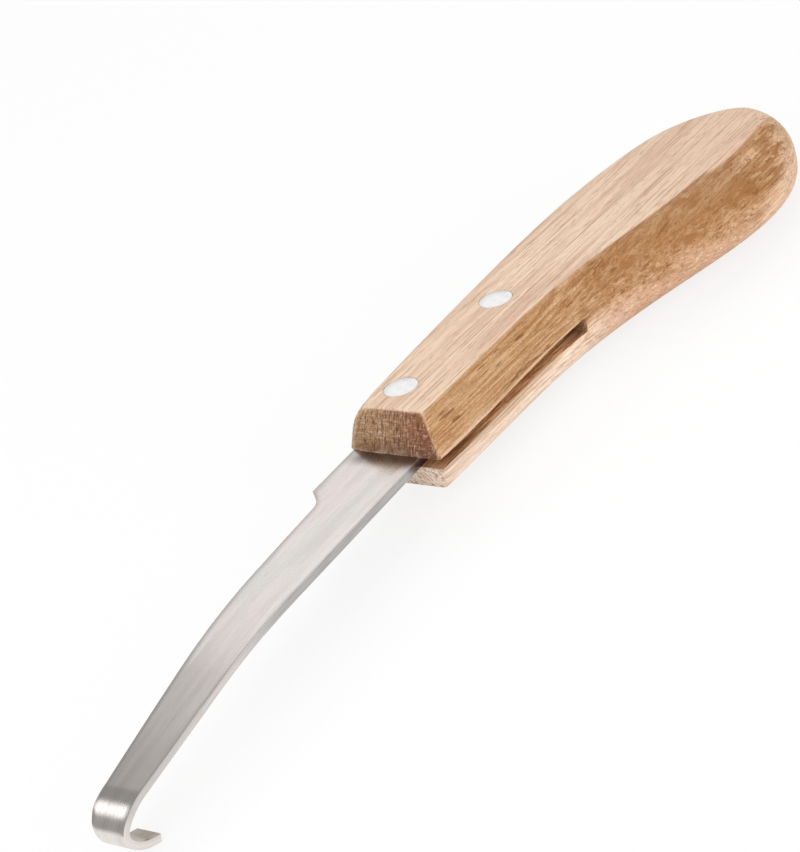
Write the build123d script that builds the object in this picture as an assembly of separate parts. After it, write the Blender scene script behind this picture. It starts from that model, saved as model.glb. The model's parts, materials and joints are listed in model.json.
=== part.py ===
from build123d import *
import math
import os

# A farrier's hoof knife: a bent steel blade with a hooked end, riveted in a slit wooden handle.
# Millimetres. The knife is drawn with the front rivet's axis as its origin, at mid-thickness, with +X
# towards the hook and +Z up through the flat that shows the post's head. At the end it is turned and moved
# to lie on a table, hook down, with the origin at the middle of its underside.

# Handle
handle_thickness = 17.3
handle_length = 137.6  # from the lip over the blade to the butt
lip_reach = 11.6  # from the front rivet's axis to the lip
front_lean = 28.0  # degrees that the front faces slope back from the lip
neck_left = 7.5  # from the rivets' line to each side, at the lip
neck_right = 15.3
grip_left = 12.2  # to the fullest place of the left side
palm_right = 30.1  # to the crest of the palm swell
butt_offset = 11.8  # from the rivets' line to the furthest point of the butt
flat_left = 4.4  # from the rivets' line to the flat's edges, at the front
flat_right = 10.0
flat_grip_left = 9.1
flat_palm_right = 18.6
butt_rounding = 6.0  # from the butt's furthest point in to the flat's edge

# Saw cut for the tang
cut_clearance = 0.02  # over and under the tang, at the lip
cut_flare = 0.86  # how much higher the cut is at its closed end

# Blade, placed from the front rivet's axis
blade_thickness = 2.0
edge_stock = 1.5  # thickness past the belly bend
blade_width = 16.1
blade_right = 9.3  # from the rivet's axis to the blunt edge
blade_yaw = 3.0  # degrees that the blade turns towards the blunt side
tang_past_rivet = 4.76  # from the rear rivet's axis to the tang's end
tang_gap = 1.3  # from the tang's end to the end of the saw cut
tang_corner = 2.0
notch_start = 25.3
notch_length = 5.2
notch_rounding = 4.0
notch_corner = 0.8
working_width = 12.4  # just past the notch
middle_width = 10.5
middle_place = 69.0
hook_width = 7.95
tip_width = 5.4
belly_place = 64.0
belly_bend = 8.5  # degrees
belly_radius = 166.0
hook_start = 101.4
hook_bends = ((12.2, 31.0), (3.0, 83.0), (8.3, 38.5))  # outer radius and degrees of each bend in the hook
tip_length = 2.0

# Ground edge, under the blade along its left side
grind_width = 3.2
grind_edge = 0.35  # thickness left at the cutting edge
grind_fade = 12.0  # length of the hook over which the bevel runs out
grind_step = 5.0  # between the sections that the ground bevel runs through
grind_hook_step = 1.2

# Rivets
rivet_spacing = 33.74
head_radius = 3.5
head_thickness = 1.0
sleeve_radius = 2.5
post_radius = 1.5
head_clearance = 0.06  # round a head in its counterbore
shank_clearance = 0.05  # round a sleeve in the wood and the tang
post_clearance = 0.02  # round a post in its sleeve
sleeve_gap = 0.3  # from the sleeve's mouth to the post's head
post_gap = 2.0  # from the post's end to the bottom of the sleeve

half_thickness = handle_thickness / 2
butt_x = lip_reach - handle_length
tang_end = -rivet_spacing - tang_past_rivet
cut_end = tang_end - tang_gap
notch_end = notch_start + notch_length
blade_slope = math.radians(belly_bend)
margin = 20.0  # by which cutting shapes run past the pieces that they cut


def between(start, end, share):
    return start + (end - start) * share


def handle_stations():
    """Points round the handle from the front left to the front right, by way of the butt. Each gives the
    widest line, the edge of the flat, and how full the side is between them: 1 is straight."""

    def along(share):
        return lip_reach - handle_length * share

    def left(share, swell, flat_swell, fullness):
        x = along(share)
        widest = (x, -between(neck_left, grip_left, swell))
        flat = (x, -between(flat_left, flat_grip_left, flat_swell))
        return widest, flat, fullness

    def right(share, swell, flat_swell, fullness):
        x = along(share)
        widest = (x, between(neck_right, palm_right, swell))
        flat = (x, between(flat_right, flat_palm_right, flat_swell))
        return widest, flat, fullness

    def butt(back, offset, flat_back, flat_offset, fullness):
        widest = (butt_x + back, butt_offset + offset)
        flat = (butt_x + butt_rounding + flat_back, butt_offset + flat_offset)
        return widest, flat, fullness

    return [
        left(-0.035, -0.06, -0.19, 3.7),
        left(0.193, 0.38, 0.45, 3.7),
        left(0.412, 0.81, 0.87, 3.7),
        left(0.629, 1.0, 1.0, 3.4),
        left(0.790, 0.58, 0.55, 2.8),
        butt(8.7, -16.7, 5.8, -11.7, 2.75),
        butt(0, 0, 0, 0, 2.7),
        butt(7.3, 10.3, 7.7, 6.1, 2.8),
        right(0.797, 1.0, 1.0, 3.0),
        right(0.666, 0.84, 0.83, 3.0),
        right(0.521, 0.35, 0.44, 3.3),
        right(0.375, 0.02, 0.10, 3.2),
        right(0.193, -0.02, 0.04, 1.7),
        right(-0.035, 0.0, 0.0, 1.0),
    ]


def handle_outline(level):
    """Outline at a level between the widest line, at 0, and the flat, at 1."""
    points = []
    for widest, flat, fullness in handle_stations():
        spread = 1 - level**fullness
        x = between(flat[0], widest[0], spread)
        y = between(flat[1], widest[1], spread)
        points.append((x, y))
    outline = Spline(*points) + Line(points[-1], points[0])
    return make_face(outline)


def handle_block():
    levels = (0, 0.3, 0.55, 0.75, 0.9, 1)
    outlines = [Pos(0, 0, half_thickness * level) * handle_outline(level) for level in levels]
    upper = loft(outlines)
    return upper + mirror(upper, about=Plane.XY)


def front_slope():
    """All that lies behind the two sloping front faces, which meet in the saw cut."""
    lip_height = blade_thickness / 2 + cut_clearance
    lean = math.tan(math.radians(front_lean))
    ridge = lip_reach + lip_height * lean
    top = half_thickness + margin
    outline = Polyline(
        (butt_x - margin, -top),
        (ridge - top * lean, -top),
        (ridge, 0),
        (ridge - top * lean, top),
        (butt_x - margin, top),
        close=True,
    )
    face = make_face(Plane.XZ * outline)
    return extrude(face, amount=palm_right + margin, both=True)


def saw_cut():
    front = blade_thickness / 2 + cut_clearance
    flare = cut_flare / 2 / (lip_reach - cut_end)
    mouth = front - flare * margin
    back = front + flare * (lip_reach - cut_end)
    outline = Polyline(
        (cut_end, -back),
        (lip_reach + margin, -mouth),
        (lip_reach + margin, mouth),
        (cut_end, back),
        close=True,
    )
    face = make_face(Plane.XZ * outline)
    return extrude(face, amount=palm_right + margin, both=True)


def rivet_places():
    return [Pos(0, 0, 0), Pos(-rivet_spacing, 0, 0)]


def shank_hole():
    return Cylinder(sleeve_radius + shank_clearance, handle_thickness + margin)


def counterbore():
    mouth = Pos(0, 0, half_thickness - head_thickness) * Circle(head_radius + head_clearance)
    return extrude(mouth, amount=margin)


def make_handle():
    handle = handle_block() & front_slope()
    handle -= saw_cut()
    for place in rivet_places():
        handle -= place * shank_hole()
        handle -= place * counterbore()
        handle -= place * mirror(counterbore(), about=Plane.XY)
    return handle


def post():
    """Upper half of a rivet: a head flush with the upper flat, and the pin under it."""
    seat = half_thickness - head_thickness
    end = post_gap - seat
    head = extrude(Pos(0, 0, seat) * Circle(head_radius), amount=head_thickness)
    pin = extrude(Pos(0, 0, end) * Circle(post_radius), amount=seat - end)
    return head + pin


def sleeve():
    """Lower half of a rivet: a head flush with the lower flat, and the tube that takes the post."""
    seat = half_thickness - head_thickness
    head = extrude(Pos(0, 0, -half_thickness) * Circle(head_radius), amount=head_thickness)
    tube = extrude(Pos(0, 0, -seat) * Circle(sleeve_radius), amount=2 * seat - sleeve_gap)
    bore = extrude(Pos(0, 0, -seat) * Circle(post_radius + post_clearance), amount=margin + seat)
    return head + tube - bore


def slope_point(x, inset):
    """Point of the straight slope between the belly bend and the hook, beside the place x of its outer face.
    The inset moves it square into the blade."""
    height = blade_thickness / 2 - math.tan(blade_slope) * (x - belly_place)
    return (x - inset * math.sin(blade_slope), height - inset * math.cos(blade_slope))


def side_line(height, inset):
    """One face of the blade in the side view, from the tang to the tip: straight at its height, then the
    belly bend, the slope, the hook and the tip. Past the belly bend it lies inset into the blade."""
    slope = slope_point(belly_place, inset)
    corner_x = slope[0] + (slope[1] - height) / math.tan(blade_slope)
    root = slope_point(hook_start, inset)
    run = FilletPolyline((tang_end, height), (corner_x, height), root, radius=belly_radius)
    line = [*run.edges()]
    for radius, turn in hook_bends:
        line.append(JernArc(line[-1] @ 1, line[-1] % 1, radius - inset, -turn))
    line.append(Line(line[-1] @ 1, (line[-1] @ 1) + (line[-1] % 1) * tip_length))
    return line


def outer_line():
    return side_line(blade_thickness / 2, 0)


def side_shape():
    """The blade in the side view: both faces and the square ends."""
    outer = outer_line()
    inner = side_line(-blade_thickness / 2, edge_stock)
    back = Line(outer[0] @ 0, inner[0] @ 0)
    front = Line(outer[-1] @ 1, inner[-1] @ 1)
    return make_face([*outer, *inner, back, front])


def cutting_edge():
    """The left edge from above, from the notch to the hook, slightly full in the middle."""
    return ThreePointArc(
        (notch_end, blade_right - working_width),
        (middle_place, blade_right - middle_width),
        (hook_start, blade_right - hook_width),
    )


def plan_shape():
    """The blade from above: tang, notch, cutting edge and the straight blunt edge."""
    full = blade_right - blade_width
    edge = cutting_edge()
    shoulder = FilletPolyline(
        (0, full),
        (notch_start, full),
        (notch_end - notch_rounding / 2, (edge @ 0).Y),
        edge @ 0,
        radius=[notch_corner, notch_rounding],
    )
    past_hook = hook_start + margin
    rest = Polyline(
        edge @ 1,
        (past_hook, (edge @ 1).Y),
        (past_hook, blade_right),
        (tang_end, blade_right),
        (tang_end, full),
        (0, full),
    )
    outline = make_face([*shoulder.edges(), edge, *rest.edges()])
    tang_corners = outline.vertices().sort_by(Axis.X)[:2]
    return fillet(tang_corners, tang_corner)


def left_side(point):
    """Where the blade's left side lies beside a point of its outer face: the cutting edge as far as the
    hook, which then narrows down to its tip, less and less."""
    root_z = slope_point(hook_start, edge_stock)[1]
    if point.Y > root_z:
        share = (point.X - notch_end) / (hook_start - notch_end)
        return (cutting_edge() @ min(1, share)).Y
    tip_z = (outer_line()[-1] @ 1).Y
    above_tip = (point.Y - tip_z) / (root_z - tip_z)
    return blade_right - between(tip_width, hook_width, above_tip**2)


def hook_narrowing():
    """What is taken off the left side of the hook."""
    tip_z = (outer_line()[-1] @ 1).Y
    tip_left = blade_right - tip_width
    root = Vector(blade_right - hook_width, slope_point(hook_start, edge_stock)[1])
    side = Bezier(root, (tip_left, between(root.Y, tip_z, 0.5)), (tip_left, tip_z))
    below = tip_z - margin
    rest = Polyline(side @ 1, (tip_left, below), (-margin, below), (-margin, root.Y), root)
    outline = make_face([side, *rest.edges()])
    return extrude(Plane.YZ * outline, amount=hook_start + margin)


def grind_section(point, heading, edge):
    """Triangle of what the grinding takes, square to the outer face at a point of it, where the cutting edge
    is left this thick."""
    bevel = (edge_stock - grind_edge) / grind_width
    inward = Vector(heading.Y, -heading.X)
    left = left_side(point)
    deep = 2 * blade_thickness
    beside = grind_edge / bevel / 2

    def corner(across, depth):
        place = point + inward * depth
        return Vector(place.X, left + across, place.Y)

    return make_face(
        Polyline(
            corner(-beside, edge - beside * bevel),
            corner((deep - edge) / bevel, deep),
            corner(-beside, deep),
            close=True,
        )
    )


def spaced(start, end, step):
    count = math.ceil((end - start) / step)
    return [between(start, end, place / count) for place in range(count)]


def grind():
    """What is ground off under the blade along its left side, from the notch until it runs out in the
    hook."""
    path = Wire(outer_line())
    hook_length = sum(math.radians(turn) * radius for radius, turn in hook_bends)
    root = path.length - tip_length - hook_length
    places = spaced(notch_end + notch_rounding / 2 - tang_end, root, grind_step)
    places += spaced(root, root + grind_fade + grind_hook_step, grind_hook_step)
    sections = []
    for place in places:
        point = path.position_at(place, position_mode=PositionMode.LENGTH)
        heading = path.tangent_at(place, position_mode=PositionMode.LENGTH)
        faded = max(0, place - root) / grind_fade
        sections.append(grind_section(point, heading, between(grind_edge, edge_stock, faded)))
    return loft(sections)


def make_blade():
    side = extrude(Plane.XZ * side_shape(), amount=blade_width + margin, both=True)
    plan = extrude(plan_shape(), amount=blade_width + margin, both=True)
    blade = (side & plan) - hook_narrowing() - grind()
    blade = Rot(0, 0, blade_yaw) * blade
    for place in rivet_places():
        blade -= place * shank_hole()
    return blade


def lying_plane():
    """The table top that the knife lies on, hook down: it touches the left corner of the hook's tip and the
    heel of the lower flat."""
    tip = outer_line()[-1] @ 1
    corner = Vector(tip.X, left_side(tip), tip.Y).rotate(Axis.Z, blade_yaw)
    heel, butt = [Vector(flat[0], flat[1], -half_thickness) for _, flat, _ in handle_stations()[5:7]]
    up = (corner - heel).cross(butt - heel)
    return Plane(heel, x_dir=corner - heel, z_dir=up)


def lay_down(parts):
    """Turns the parts from their drawing place to the table, origin at the middle of the underside."""
    table = lying_plane()
    laid = {name: table.to_local_coords(part) for name, part in parts.items()}
    box = Compound([part for part in laid.values()]).bounding_box()
    down = Pos(-box.center().X, -box.center().Y, -box.min.Z)
    return {name: down * part for name, part in laid.items()}


def make_parts():
    parts = {"handle": make_handle(), "blade": make_blade()}
    for name, place in zip(("front_rivet", "rear_rivet"), rivet_places()):
        parts[name + "_post"] = place * post()
        parts[name + "_sleeve"] = place * sleeve()
    return lay_down(parts)


os.makedirs("parts", exist_ok=True)
for name, part in make_parts().items():
    export_step(part, f"parts/{name}.step")
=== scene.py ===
import json
import math

import bmesh
import bpy
import numpy as np
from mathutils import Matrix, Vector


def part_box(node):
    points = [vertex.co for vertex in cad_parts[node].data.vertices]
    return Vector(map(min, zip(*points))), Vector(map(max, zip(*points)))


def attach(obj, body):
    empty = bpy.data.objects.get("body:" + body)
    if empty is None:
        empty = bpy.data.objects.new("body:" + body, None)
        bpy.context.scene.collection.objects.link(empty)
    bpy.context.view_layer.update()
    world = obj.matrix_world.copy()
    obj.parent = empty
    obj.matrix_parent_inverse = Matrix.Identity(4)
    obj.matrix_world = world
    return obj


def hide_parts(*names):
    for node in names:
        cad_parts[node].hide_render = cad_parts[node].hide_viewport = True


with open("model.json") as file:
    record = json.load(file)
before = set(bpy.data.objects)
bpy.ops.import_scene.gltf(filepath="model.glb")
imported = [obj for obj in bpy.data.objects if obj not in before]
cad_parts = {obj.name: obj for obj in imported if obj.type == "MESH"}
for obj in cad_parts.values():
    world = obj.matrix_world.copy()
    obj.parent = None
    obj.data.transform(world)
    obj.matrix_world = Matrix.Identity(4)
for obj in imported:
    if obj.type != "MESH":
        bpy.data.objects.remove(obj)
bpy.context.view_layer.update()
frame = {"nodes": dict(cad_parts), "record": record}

import openvdb
from mathutils import Matrix, Vector

mm = 0.001

# Every piece is drawn in millimetres with the front rivet's axis as its origin, at mid-thickness, with X
# towards the hook and Z through the upper flat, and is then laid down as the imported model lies.
knife = {
    "thickness": 17.3,
    "lipGap": 0.02,  # over and under the tang at the handle's lip
    "cutFlare": 0.86,  # how much higher the saw cut is at its closed end
    "cutCurve": 2.5,  # how late along the cut that height comes
    "lip": 11.6,
    "tangEnd": -38.5,
    "cutEnd": -39.8,
    "bladeThickness": 2.0,
}


def middleOf(node):
    low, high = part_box(node)
    return (low + high) / 2


def layingPlace():
    flat = next(m for m in frame["record"]["mounts"] if m["name"] == "upper_flat")
    alongX = middleOf("front_rivet_post") - middleOf("rear_rivet_post")
    upZ = Vector(flat["axis"]).normalized()
    acrossY = upZ.cross(alongX).normalized()
    place = Matrix((alongX.normalized(), acrossY, upZ)).transposed().to_4x4()
    place.translation = Vector(flat["pos_m"]) + alongX / 2 - upZ * knife["thickness"] / 2 * mm
    return place, alongX.length / mm


laying, rivetSpacing = layingPlace()
halfThickness = knife["thickness"] / 2


def layDown(mesh):
    mesh.transform(laying @ Matrix.Diagonal((mm, mm, mm, 1)))


def between(start, end, share):
    return start + (end - start) * share


def smoothShare(value, low, high):
    share = np.clip((value - low) / (high - low), 0, 1)
    return share * share * (3 - 2 * share)


def newPiece(name, data):
    piece = bpy.data.objects.new(name, data)
    bpy.context.scene.collection.objects.link(piece)
    return piece


def settled(piece):
    # The evaluated shape as a plain mesh, with its modifiers gone
    bpy.context.view_layer.update()
    graph = bpy.context.evaluated_depsgraph_get()
    mesh = bpy.data.meshes.new_from_object(piece.evaluated_get(graph), depsgraph=graph)
    piece.modifiers.clear()
    piece.data = mesh


def readOff(items, name, width=3, kind=np.float32):
    values = np.zeros(len(items) * width, kind)
    items.foreach_get(name, values)
    return values.reshape(-1, width)


def keepValue(mesh, name, values, domain="POINT"):
    attribute = mesh.attributes.new(name, "FLOAT", domain)
    attribute.data.foreach_set("value", np.asarray(values, np.float32))


def keepRows(mesh, names, rows):
    # One row of values for each point
    for name, values in zip(names, zip(*rows)):
        keepValue(mesh, name, values)


def setSockets(tree, node, values):
    # A node given as a value stands for its first output
    for name, value in values.items():
        if isinstance(value, bpy.types.Node):
            value = value.outputs[0]
        if isinstance(value, bpy.types.NodeSocket):
            tree.links.new(value, node.inputs[name])
        else:
            node.inputs[name].default_value = value


def addNode(tree, kind, sockets=None, **settings):
    made = tree.nodes.new(kind)
    for name, value in settings.items():
        setattr(made, name, value)
    setSockets(tree, made, sockets or {})
    return made


def maths(tree, operation, first, second=0.0, clamp=False):
    return addNode(tree, "ShaderNodeMath", {0: first, 1: second}, operation=operation, use_clamp=clamp)


def rgb(red, green, blue):
    # A colour picked on a 0 to 255 scale, as the shader wants it
    def linear(value):
        value /= 255
        return value / 12.92 if value <= 0.04045 else ((value + 0.055) / 1.055) ** 2.4

    return (linear(red), linear(green), linear(blue), 1)


def noise(tree, vector, scale, detail=2.0, roughness=0.5, shift=(0, 0, 0), distortion=0.0):
    place = addNode(tree, "ShaderNodeMapping", {"Vector": vector, "Scale": scale, "Location": shift})
    sockets = {
        "Vector": place,
        "Scale": 1.0,
        "Detail": detail,
        "Roughness": roughness,
        "Distortion": distortion,
    }
    return addNode(tree, "ShaderNodeTexNoise", sockets).outputs["Fac"]


def spread(tree, value, low, high, start=0.0, end=1.0):
    sockets = {"Value": value, "From Min": low, "From Max": high, "To Min": start, "To Max": end}
    return addNode(tree, "ShaderNodeMapRange", sockets, interpolation_type="SMOOTHSTEP")


def mixed(tree, share, first, second):
    return addNode(tree, "ShaderNodeMix", {0: share, 6: first, 7: second}, data_type="RGBA").outputs[2]


def times(tree, first, second):
    return maths(tree, "MULTIPLY", first, second)


def added(tree, first, second):
    return maths(tree, "ADD", first, second)


def patternsOf(tree, place, values, axes):
    # Each pattern by its name, and the place along each axis
    made = {name: noise(tree, place, *settings) for name, settings in values["patterns"].items()}
    made.update(zip(axes, addNode(tree, "ShaderNodeSeparateXYZ", {0: place}).outputs))
    return made


def ranged(tree, patterns, name, *ends):
    # A pattern between its ends, at its share, or as it is
    if len(ends) > 1:
        return spread(tree, patterns[name], *ends)
    return times(tree, patterns[name], *ends) if ends else patterns[name]


def summed(tree, total, patterns, rows):
    for row in rows:
        total = added(tree, total, ranged(tree, patterns, *row))
    return total


def addMasks(tree, values, patterns):
    # A mask is where all its patterns run between their ends
    for name, rows in values["masks"].items():
        mask, *others = (ranged(tree, patterns, *row) for row in rows)
        for other in others:
            mask = times(tree, mask, other)
        patterns[name] = mask


def layered(tree, colour, values, patterns, layer):
    # Lays a pattern's colour between its ends, or a mask's colour, over what lies there
    for name, *ends, share, over in values[layer]:
        reach = (*ends, 0.0, share) if ends else (share,)
        colour = mixed(tree, ranged(tree, patterns, name, *reach), colour, values[over])
    return colour


def attribute(tree, name):
    return addNode(tree, "ShaderNodeAttribute", attribute_name=name)


def knifePlace(tree):
    # Place in millimetres in the knife's own axes
    turn = laying.to_3x3().transposed()
    shift = turn @ laying.translation / -mm
    sockets = {
        "Vector": addNode(tree, "ShaderNodeTexCoord").outputs["Object"],
        "Scale": (1 / mm,) * 3,
        "Rotation": turn.to_euler(),
        "Location": shift,
    }
    return addNode(tree, "ShaderNodeMapping", sockets)


def newMaterial(name):
    material = bpy.data.materials.new(name)
    material.use_nodes = True
    tree = material.node_tree
    return material, tree, tree.nodes["Principled BSDF"]


def surfaced(tree, shader, colour, values, patterns, own):
    # Colour, roughness and relief, and the sockets that only this material sets
    strength, distance = values["bump"]
    height = summed(tree, 0.0, patterns, values["height"])
    relief = {"Height": height, "Strength": strength, "Distance": distance * mm}
    sockets = {
        "Base Color": colour,
        "Roughness": summed(tree, values["roughness"], patterns, values["rougher"]),
        "Normal": addNode(tree, "ShaderNodeBump", relief),
    }
    setSockets(tree, shader, sockets | own)


handle = {
    "cell": 0.45,
    "softening": 0.36,  # how far the sanding blurs the edges
    "cornerSoftening": 0.8,  # at the lip's left corner
    "cornerAlong": (1, 6),  # over which the corner's softening comes in
    "cornerLeft": (1, 5),
    "plugRadius": 4.7,
    "carryFrom": 1.2,  # from the saw cut's edge to where the side is carried on from
    "carryPast": 1.3,  # how far past the cut's end
    "carryDepth": 1.1,
    "sawReach": (-16, 26),
    "sawSteps": (150, 170),
    "toolMargin": 3.0,  # how far the saw and the drills run past the wood
    "fray": (0.05, 0.14),  # depth of the chips along the saw cut's upper and lower edges
    "frayReach": 0.45,
    "frayLength": 0.9,
    "frayWidth": 0.6,
    "frayStart": (0.3, 1.5),  # over which the chips come in, from the cut's closed end
    "sawnReach": 0.33,  # how far from the cut its chipped walls run
    "seed": 5,
    "paleEnd": (-88.0, 18.9, 0.1625, 0.0066),  # edge of the flats' paler colour on the butt: along, across, slope, bend
    "paleButt": (87, 93),  # where that edge leaves the flat
    "paleButtEdge": (-0.3, 0.3),  # over which the paler colour fades in there
    "paleEdge": (-0.25, 0.15),  # and at the flats' edges
    "flatLevel": (0.2, 0.6),  # how level the wood is where the flats' colours start and are full
    "endFacing": (0.55, 0.8),  # how far it faces the front where the end grain's do
    "roundingDepth": 0.16,
    "sharpAngle": 42,
}


def blurred(field, reach):
    offsets = range(-3, 4)
    weights = [math.exp(-0.5 * (offset / reach) ** 2) for offset in offsets]
    for axis in range(3):
        total = sum(weight * np.roll(field, offset, axis) for offset, weight in zip(offsets, weights))
        field = total / sum(weights)
    return field


def cutHalf(x, curve=1.0):
    # Half the height of the saw cut
    share = np.maximum((knife["lip"] - x) / (knife["lip"] - knife["cutEnd"]), 0)
    return knife["bladeThickness"] / 2 + knife["lipGap"] + share**curve * knife["cutFlare"] / 2


def gridAxes(field, low):
    spans = tuple(slice(first, first + count) for first, count in zip(low, field.shape))
    return [axis * handle["cell"] for axis in np.ogrid[spans]]


def handleField():
    # How far each point of a grid lies outside the wood
    solid = frame["nodes"]["handle"].data
    toKnife = np.array(laying.inverted())
    points = (readOff(solid.vertices, "co") @ toKnife[:3, :3].T + toKnife[:3, 3]) / mm
    solid.calc_loop_triangles()
    corners = readOff(solid.loop_triangles, "vertices", kind=np.int32)
    grid = openvdb.FloatGrid.createLevelSetFromPolygons(
        points.astype(np.float32),
        triangles=corners.astype(np.uint32),
        transform=openvdb.createLinearTransform(handle["cell"]),
        halfWidth=6.0,
    )
    low, high = (np.array(corner) for corner in grid.evalActiveVoxelBoundingBox())
    margin = 4
    low -= margin
    field = np.full(tuple(high + margin - low), grid.background, np.float32)
    grid.copyToArray(field, ijk=tuple(int(v) for v in low))
    return field, low


def closeCut(field, low):
    # Carries the sides on across the saw cut, which is sawn again once the edges are soft
    x, _, z = gridAxes(field, low)
    z = z.ravel()

    def level(slab, height):
        place = height / handle["cell"] - low[2]
        base = int(place)
        return between(slab[:, base], slab[:, base + 1], place - base)[:, None]

    for number, here in enumerate(x.ravel()):
        if here < knife["cutEnd"] - handle["carryPast"]:
            continue
        start = float(cutHalf(here)) + handle["carryFrom"]
        slab = field[number].copy()
        for side in (1, -1):
            near = level(slab, side * start)
            far = level(slab, side * (start + 1))
            inside = (np.abs(z) < start) & (z * side >= 0)
            carried = near + (near - far) * (start - np.abs(z[inside]))
            deepest = -handle["carryDepth"]
            field[number][:, inside] = np.where(near > deepest, carried, deepest)


def plugHoles(field, low):
    x, y, z = gridAxes(field, low)
    for rivetX in (0, -rivetSpacing):
        beside = np.hypot(x - rivetX, y) - handle["plugRadius"]
        np.minimum(field, np.maximum(beside, np.abs(z) - halfThickness), out=field)


def sampled(field, low, points):
    # Values of the grid at the points, between its cells
    place = np.asarray(points) / handle["cell"] - low
    base = np.clip(np.floor(place).astype(int), 0, np.array(field.shape) - 2)
    rest = place - base
    total = np.zeros(len(place))
    for corner in np.ndindex(2, 2, 2):
        weight = np.prod(np.where(corner, rest, 1 - rest), axis=1)
        total += weight * field[tuple((base + corner).T)]
    return total


def softened(field, low):
    # The edges as sanded, and the lip's left corner more so
    x, y, _ = gridAxes(field, low)
    cells = handle["softening"] / handle["cell"]
    soft = blurred(field, cells)
    more = handle["cornerSoftening"] / handle["cell"]
    corner = smoothShare(x, *handle["cornerAlong"]) * smoothShare(-y, *handle["cornerLeft"])
    rounder = blurred(blurred(soft, more), more)
    return soft + corner * (rounder - soft)


def softSkin(field, low):
    grid = openvdb.FloatGrid()
    grid.background = float(field.max())
    grid.copyFromArray(field.astype(np.float32), ijk=tuple(int(v) for v in low))
    grid.transform = openvdb.createLinearTransform(handle["cell"])
    points, quads = grid.convertToQuads()
    mesh = bpy.data.meshes.new("handleWood")
    mesh.from_pydata(points.tolist(), [], quads[:, ::-1].tolist())
    mesh.validate()
    return mesh


def sawBlade(field, low):
    # What the saw takes out, with chips where it comes out of the wood
    rng = np.random.default_rng(handle["seed"])
    rows, columns = handle["sawSteps"]
    alongs = np.linspace(knife["cutEnd"], knife["lip"] + handle["toolMargin"], rows)
    acrosses = np.linspace(*handle["sawReach"], columns)
    chipRows, chipColumns = 60, 70
    chips = rng.random((chipRows, chipColumns))
    places, corners = [], []
    x, y = (values.ravel() for values in np.meshgrid(alongs, acrosses, indexing="ij"))
    for side in (1, -1):
        z = side * cutHalf(x, knife["cutCurve"])
        surface = sampled(field, low, np.stack((x, y, z), axis=1))
        nearby = np.exp(-((surface / handle["frayReach"]) ** 2))
        row = ((x - alongs[0]) / handle["frayLength"]).astype(int)
        column = ((y - acrosses[0]) / handle["frayWidth"]).astype(int)
        other = chipRows // 2 if side > 0 else 0
        chip = chips[(row + other) % chipRows, column % chipColumns] ** 2
        chip = chip * smoothShare(np.abs(x - knife["cutEnd"]), *handle["frayStart"])
        places.append(np.stack((x, y, z + side * nearby * chip * handle["fray"][side < 0]), axis=1))
    count = rows * columns

    def at(side, row, column):
        return side * count + row * columns + column

    for row in range(rows - 1):
        for column in range(columns - 1):
            quad = [(row, column), (row + 1, column), (row + 1, column + 1), (row, column + 1)]
            corners.append([at(0, *corner) for corner in quad])
            corners.append([at(1, *corner) for corner in reversed(quad)])
    rim = [(row, 0) for row in range(rows)] + [(rows - 1, column) for column in range(1, columns)]
    rim += [(row, columns - 1) for row in range(rows - 2, -1, -1)]
    rim += [(0, column) for column in range(columns - 2, 0, -1)]
    for first, second in zip(rim, rim[1:] + rim[:1]):
        corners.append([at(0, *second), at(0, *first), at(1, *first), at(1, *second)])
    mesh = bpy.data.meshes.new("sawBlade")
    mesh.from_pydata(np.concatenate(places).tolist(), [], corners)
    return newPiece("sawBlade", mesh)


def plainMesh(name, drawn):
    mesh = bpy.data.meshes.new(name)
    drawn.to_mesh(mesh)
    drawn.free()
    return mesh


def cutter(name, shapes):
    # Cylinders on the rivets' axes: radius, lowest and highest end
    mesh = bmesh.new()
    for rivetX in (0, -rivetSpacing):
        for radius, bottom, top in shapes:
            place = Matrix.Translation((rivetX, 0, (bottom + top) / 2))
            bmesh.ops.create_cone(
                mesh,
                cap_ends=True,
                segments=rivets["drillSides"],
                radius1=radius,
                radius2=radius,
                depth=top - bottom,
                matrix=place,
            )
    return newPiece(name, plainMesh(name, mesh))


def cutAway(piece, tools):
    for tool in tools:
        cut = piece.modifiers.new(tool.name, "BOOLEAN")
        cut.operation = "DIFFERENCE"
        cut.object = tool
        cut.solver = "EXACT"
    settled(piece)
    for tool in tools:
        bpy.data.objects.remove(tool)


def drills():
    seat = halfThickness - rivets["headThickness"]
    over = halfThickness + handle["toolMargin"]
    headHole = rivets["headRadius"] + rivets["headClearance"]
    shankHole = rivets["sleeveRadius"] + rivets["shankClearance"]
    return [
        cutter("upperSinks", [(headHole, seat, over)]),
        cutter("lowerSinks", [(headHole, -over, -seat)]),
        cutter("shankHoles", [(shankHole, -over, over)]),
    ]


def flatEdge():
    # Edges of the upper flat, seen from above, without those of the rivets' seats
    mesh = bmesh.new()
    mesh.from_mesh(frame["nodes"]["handle"].data)
    bmesh.ops.remove_doubles(mesh, verts=mesh.verts, dist=0.00001)
    up = laying.to_3x3() @ Vector((0, 0, 1))
    toFlat = laying.inverted()
    seat = rivets["headRadius"] + 0.5
    edges = []
    for edge in mesh.edges:
        level = [face.normal.dot(up) > 0.9999 for face in edge.link_faces]
        ends = [toFlat @ corner.co / mm for corner in edge.verts]
        onTop = min(end.z for end in ends) > halfThickness - 0.01
        if len(level) != 2 or level[0] == level[1] or not onTop:
            continue
        if all(math.hypot(end.x - rivetX, end.y) > seat for end in ends for rivetX in (0, -rivetSpacing)):
            edges.append([end.xy[:] for end in ends])
    mesh.free()
    return np.array(edges)


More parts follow.
